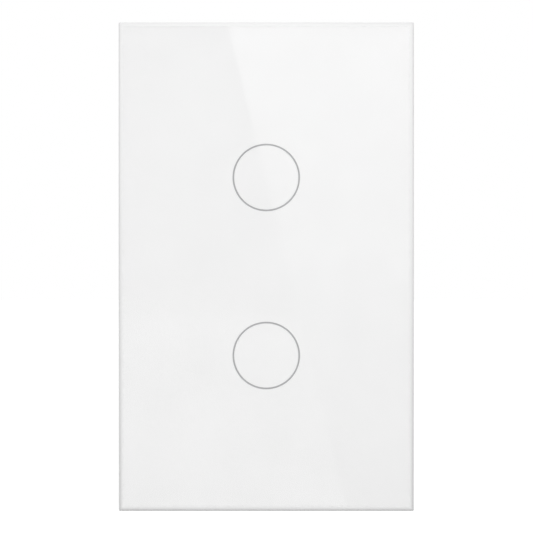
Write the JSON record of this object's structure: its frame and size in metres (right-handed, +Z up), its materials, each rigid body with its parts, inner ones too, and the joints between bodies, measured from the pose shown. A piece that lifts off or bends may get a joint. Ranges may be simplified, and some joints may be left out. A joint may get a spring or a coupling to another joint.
{
  "type": "smart light switch",
  "caption": "Smart touch light switch for a single wall box, with a glass panel that pulls off, lit key rings, a steel yoke, relays and clamp terminals in a rear box.",
  "frame": {"origin": "middle of the yoke's back face, where the switch seats on its wall box", "axes": "+X to the right seen from the room, +Y into the wall, +Z up; the glass faces -Y"},
  "size_m": [0.0724, 0.0354, 0.12],
  "materials": {
    "glass": "clear tempered glass with ground edges",
    "white_ink": "opaque white screen print on glass",
    "grey_ink": "translucent grey screen print",
    "foam_tape": "black foam tape",
    "housing_plastic": "moulded white polycarbonate, fine spark texture",
    "box_plastic": "moulded light grey polycarbonate",
    "clear_plastic": "moulded frosted light guide",
    "spring_steel": "nickel plated spring wire",
    "touch_laminate": "green solder mask on glass-epoxy board",
    "power_laminate": "green solder mask on glass-epoxy board",
    "lamp": "small white lamp packages",
    "black_resin": "moulded chip resin",
    "shield_tin": "tinned steel sheet",
    "black_plastic": "moulded black nylon",
    "gold_pin": "gold flashed brass",
    "fish_paper": "grey insulating film",
    "zinc_steel": "zinc plated sheet steel",
    "green_screw": "green dyed zinc plating",
    "screw_steel": "zinc plated screws",
    "fibre": "red brown vulcanised fibre",
    "ferrite": "sintered ferrite",
    "coil_tape": "yellow polyester tape",
    "can_sleeve": "shrunk sleeve on aluminium cans",
    "fuse_case": "brown moulded fuse",
    "varistor_coat": "blue epoxy coat",
    "film_case": "yellow film capacitor case",
    "terminal_plastic": "green moulded polyamide",
    "contact_brass": "tin-copper contact strip",
    "clamp_steel": "nickel plated clamp screws",
    "clamp_brass": "nickel plated brass cages",
    "relay_case": "blue moulded relay case",
    "relay_base": "black moulded relay base",
    "bobbin_plastic": "natural moulded bobbin",
    "copper_wire": "enamelled copper wire",
    "soft_iron": "nickel plated soft iron",
    "contact_spring": "copper alloy spring strip"
  },
  "bodies": {
    "base": {"front_housing": "housing_plastic", "upper_light_guide": "clear_plastic", "lower_light_guide": "clear_plastic", "upper_touch_spring": "spring_steel", "lower_touch_spring": "spring_steel", "touch_board": "touch_laminate", "indicator_leds": "lamp", "touch_chip": "black_resin", "radio_module": "touch_laminate", "radio_shield": "shield_tin", "board_header": "black_plastic", "header_pins": "gold_pin", "board_socket": "black_plastic", "insulating_sheet": "fish_paper", "mounting_yoke": "zinc_steel", "ground_screw": "green_screw", "rear_box": "box_plastic", "housing_screws": "screw_steel", "wall_screws": "screw_steel", "wall_screw_washers": "fibre", "power_board": "power_laminate", "transformer_core": "ferrite", "transformer_coil": "coil_tape", "smoothing_capacitors": "can_sleeve", "fuse": "fuse_case", "varistor": "varistor_coat", "filter_capacitor": "film_case", "bridge_rectifier": "black_resin", "terminal_block": "terminal_plastic", "terminal_contacts": "contact_brass", "relay_1_case": "relay_case", "relay_1_base": "relay_base", "relay_1_bobbin": "bobbin_plastic", "relay_1_winding": "copper_wire", "relay_1_core": "soft_iron", "relay_1_contacts": "contact_spring", "relay_2_case": "relay_case", "relay_2_base": "relay_base", "relay_2_bobbin": "bobbin_plastic", "relay_2_winding": "copper_wire", "relay_2_core": "soft_iron", "relay_2_contacts": "contact_spring"},
    "panel": {"glass_panel": "glass", "glass_print": "white_ink", "upper_key_ring": "grey_ink", "lower_key_ring": "grey_ink", "mounting_tape": "foam_tape", "panel_frame": "housing_plastic"},
    "armature_1": {"relay_1_armature": "soft_iron"},
    "armature_2": {"relay_2_armature": "soft_iron"},
    "clamp_screw_1": {"terminal_screw_1": "clamp_steel"},
    "clamp_cage_1": {"terminal_cage_1": "clamp_brass"},
    "clamp_screw_2": {"terminal_screw_2": "clamp_steel"},
    "clamp_cage_2": {"terminal_cage_2": "clamp_brass"},
    "clamp_screw_3": {"terminal_screw_3": "clamp_steel"},
    "clamp_cage_3": {"terminal_cage_3": "clamp_brass"},
    "clamp_screw_4": {"terminal_screw_4": "clamp_steel"},
    "clamp_cage_4": {"terminal_cage_4": "clamp_brass"}
  },
  "joints": [
    {"name": "panel_pull", "type": "slide", "parent": "base", "child": "panel", "axis": [0, -1, 0], "range_m": [0, 0.02]},
    {"name": "relay_1_pull_in", "type": "hinge", "parent": "base", "child": "armature_1", "pos_m": [-0.0054, 0.02035, -0.0075], "axis": [-1, 0, 0], "range_deg": [0, 3], "stiffness_Nm_per_rad": 0.005, "springref_deg": -5.73},
    {"name": "relay_2_pull_in", "type": "hinge", "parent": "base", "child": "armature_2", "pos_m": [0.0054, 0.02035, -0.0075], "axis": [-1, 0, 0], "range_deg": [0, 3], "stiffness_Nm_per_rad": 0.005, "springref_deg": -5.73},
    {"name": "clamp_rise_1", "type": "slide", "parent": "base", "child": "clamp_cage_1", "axis": [0, 1, 0], "range_m": [0, 0.004]},
    {"name": "clamp_turn_1", "type": "hinge", "parent": "base", "child": "clamp_screw_1", "pos_m": [-0.0117, 0.019, -0.02655], "axis": [0, -1, 0], "range_deg": [0, 2880]},
    {"name": "clamp_rise_2", "type": "slide", "parent": "base", "child": "clamp_cage_2", "axis": [0, 1, 0], "range_m": [0, 0.004]},
    {"name": "clamp_turn_2", "type": "hinge", "parent": "base", "child": "clamp_screw_2", "pos_m": [-0.0039, 0.019, -0.02655], "axis": [0, -1, 0], "range_deg": [0, 2880]},
    {"name": "clamp_rise_3", "type": "slide", "parent": "base", "child": "clamp_cage_3", "axis": [0, 1, 0], "range_m": [0, 0.004]},
    {"name": "clamp_turn_3", "type": "hinge", "parent": "base", "child": "clamp_screw_3", "pos_m": [0.0039, 0.019, -0.02655], "axis": [0, -1, 0], "range_deg": [0, 2880]},
    {"name": "clamp_rise_4", "type": "slide", "parent": "base", "child": "clamp_cage_4", "axis": [0, 1, 0], "range_m": [0, 0.004]},
    {"name": "clamp_turn_4", "type": "hinge", "parent": "base", "child": "clamp_screw_4", "pos_m": [0.0117, 0.019, -0.02655], "axis": [0, -1, 0], "range_deg": [0, 2880]}
  ],
  "couplings": [
    {"joint": "clamp_turn_1", "follows": "clamp_rise_1", "rad_per_m": 12566},
    {"joint": "clamp_turn_2", "follows": "clamp_rise_2", "rad_per_m": 12566},
    {"joint": "clamp_turn_3", "follows": "clamp_rise_3", "rad_per_m": 12566},
    {"joint": "clamp_turn_4", "follows": "clamp_rise_4", "rad_per_m": 12566}
  ]
}
